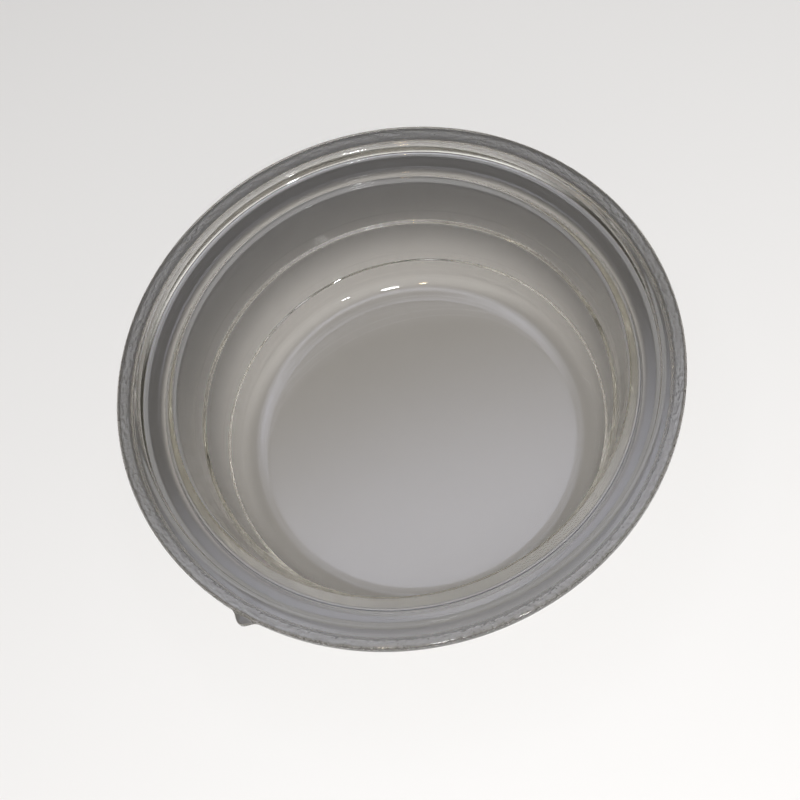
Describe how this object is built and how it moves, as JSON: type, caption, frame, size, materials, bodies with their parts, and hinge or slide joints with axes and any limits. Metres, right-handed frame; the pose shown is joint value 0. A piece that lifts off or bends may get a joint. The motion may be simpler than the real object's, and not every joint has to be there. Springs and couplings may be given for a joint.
{
  "type": "washing machine porthole glass",
  "caption": "Clear pressed glass bowl with a stepped clamping flange, a round register under the rim and a small locating lug, used as the window of a round appliance door.",
  "frame": {"origin": "centre of the flat underside of the bowl's floor, on the axis of revolution", "axes": "+Z along the axis of revolution, from the floor towards the mouth; -Y towards the locating lug on the rim"},
  "size_m": [0.32, 0.325, 0.104],
  "materials": {
    "clear_glass": "clear pressed glass, fire-polished, with a faint grey-olive tint in thick sections"
  },
  "bodies": {
    "root": {"glass_bowl": "clear_glass"}
  },
  "joints": []
}
